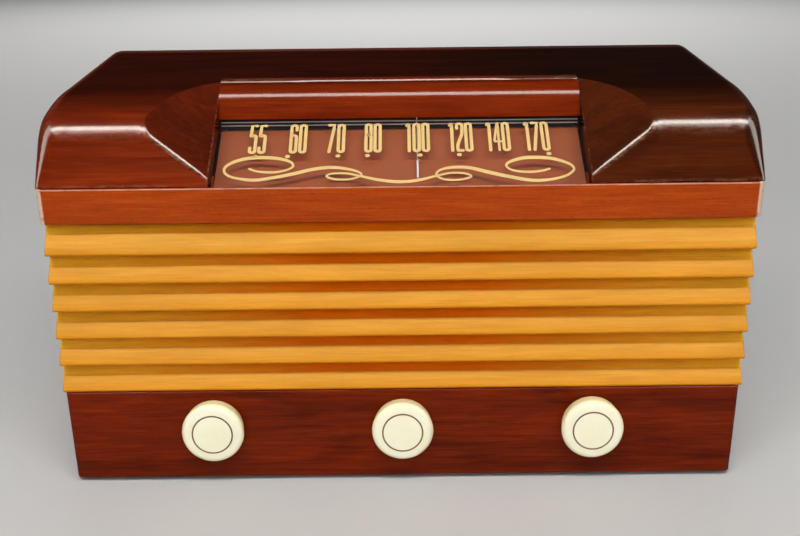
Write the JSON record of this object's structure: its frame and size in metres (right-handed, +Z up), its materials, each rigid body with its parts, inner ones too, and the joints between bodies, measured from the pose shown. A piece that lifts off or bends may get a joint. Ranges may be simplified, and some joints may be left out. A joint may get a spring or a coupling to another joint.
{
  "type": "table radio",
  "caption": "Wooden table radio with scooped shoulders, sloping slide-rule dial, blond louvered grille, turned knobs and the works inside.",
  "frame": {"origin": "middle of the footprint, knobs included, on the surface the radio stands on", "axes": "+X to the right seen from the front, along the cabinet's length; -Y to the front; +Z up"},
  "size_m": [0.362, 0.1864, 0.2055],
  "materials": {
    "dark_wood": "gloss lacquer over dark mahogany stain",
    "rail_wood": "gloss lacquer over red-brown mahogany",
    "blond_wood": "satin lacquer over blond maple",
    "pine_block": "raw",
    "foot_rubber": "matt",
    "dial_glass": "clear, printed on its rear face",
    "dial_paint": "matt rose-brown",
    "black_track": "black with bright ribs",
    "pointer_paint": "ivory",
    "pulley_resin": "moulded",
    "string_cotton": "waxed cotton",
    "lamp_brass": "bright",
    "lamp_glass": "clear",
    "chassis_steel": "plated",
    "vane_metal": "bright",
    "shaft_metal": "bright",
    "knob_ivory": "gloss ivory",
    "control_case": "moulded",
    "tube_glass": "clear with a silvered top",
    "tube_resin": "moulded brown",
    "socket_resin": "moulded",
    "can_metal": "drawn",
    "core_steel": "dark",
    "winding_paper": "waxed",
    "grille_fabric": "woven",
    "baffle_board": "pressed board",
    "basket_paint": "black",
    "cone_paper": "pressed felt paper",
    "antenna_wire": "enamelled wire"
  },
  "bodies": {
    "cabinet": {"back_cover": "baffle_board", "back_screws": "chassis_steel", "base_board": "dark_wood", "chassis": "chassis_steel", "chassis_screws": "chassis_steel", "coil_cans": "can_metal", "control_nuts": "lamp_brass", "cord_grommet": "foot_rubber", "dial_glass": "dial_glass", "dial_plate": "dial_paint", "drive_cord": "string_cotton", "filter_can": "can_metal", "gang_frame": "chassis_steel", "gang_stator": "vane_metal", "glue_blocks": "pine_block", "grille_cloth": "grille_fabric", "hood": "dark_wood", "lamp_bulbs": "lamp_glass", "lamp_sockets": "lamp_brass", "loop_antenna": "antenna_wire", "louver_1": "blond_wood", "louver_2": "blond_wood", "louver_3": "blond_wood", "louver_4": "blond_wood", "louver_5": "blond_wood", "louver_6": "blond_wood", "louver_spacers": "blond_wood", "lower_panel": "dark_wood", "pointer_cord": "string_cotton", "pointer_rail": "black_track", "rubber_feet": "foot_rubber", "side_left": "dark_wood", "side_right": "dark_wood", "speaker_baffle": "baffle_board", "speaker_basket": "basket_paint", "speaker_cone": "cone_paper", "speaker_dust_cap": "cone_paper", "speaker_magnet": "core_steel", "tone_control": "control_case", "transformer_coil": "winding_paper", "transformer_core": "core_steel", "tube_bases": "tube_resin", "tube_bulbs": "tube_glass", "tube_sockets": "socket_resin", "tuning_bushing": "lamp_brass", "upper_rail": "rail_wood", "visor_bar": "dark_wood", "volume_control": "control_case"},
    "gang": {"gang_rotor": "vane_metal", "tuning_drum": "vane_metal"},
    "pointer": {"dial_pointer": "pointer_paint"},
    "idler_l": {"idler_left": "pulley_resin"},
    "idler_r": {"idler_right": "pulley_resin"},
    "tuning": {"tuning_shaft": "shaft_metal", "knob_tuning": "knob_ivory"},
    "volume": {"volume_shaft": "shaft_metal", "knob_volume": "knob_ivory"},
    "tone": {"tone_shaft": "shaft_metal", "knob_tone": "knob_ivory"}
  },
  "joints": [
    {"name": "gang_turn", "type": "hinge", "parent": "cabinet", "child": "gang", "pos_m": [0.052, -0.02231, 0.0805], "axis": [0, 1, 0], "range_deg": [-99.84, 80.16]},
    {"name": "pointer_slide", "type": "slide", "parent": "cabinet", "child": "pointer", "axis": [1, 0, 0], "range_m": [-0.08321, 0.06681]},
    {"name": "idler_left_turn", "type": "hinge", "parent": "cabinet", "child": "idler_l", "pos_m": [-0.086, -0.02431, 0.17851], "axis": [0, 1, 0], "range_deg": [-794.51, 637.9]},
    {"name": "idler_right_turn", "type": "hinge", "parent": "cabinet", "child": "idler_r", "pos_m": [0.086, -0.02431, 0.17851], "axis": [0, 1, 0], "range_deg": [-794.51, 637.9]},
    {"name": "tuning_turn", "type": "hinge", "parent": "cabinet", "child": "tuning", "pos_m": [0.0995, -0.09281, 0.0328], "axis": [0, 1, 0], "range_deg": [-1199.26, 962.87]},
    {"name": "volume_turn", "type": "hinge", "parent": "cabinet", "child": "volume", "pos_m": [-0.0995, -0.09281, 0.0328], "axis": [0, 1, 0], "range_deg": [0, 300]},
    {"name": "tone_turn", "type": "hinge", "parent": "cabinet", "child": "tone", "pos_m": [0, -0.09281, 0.0328], "axis": [0, 1, 0], "range_deg": [-150, 150]}
  ],
  "couplings": [
    {"joint": "pointer_slide", "follows": "gang_turn", "m_per_rad": 0.047746},
    {"joint": "idler_left_turn", "follows": "gang_turn", "ratio": 7.9577},
    {"joint": "idler_right_turn", "follows": "gang_turn", "ratio": 7.9577},
    {"joint": "tuning_turn", "follows": "gang_turn", "ratio": 12.012}
  ]
}
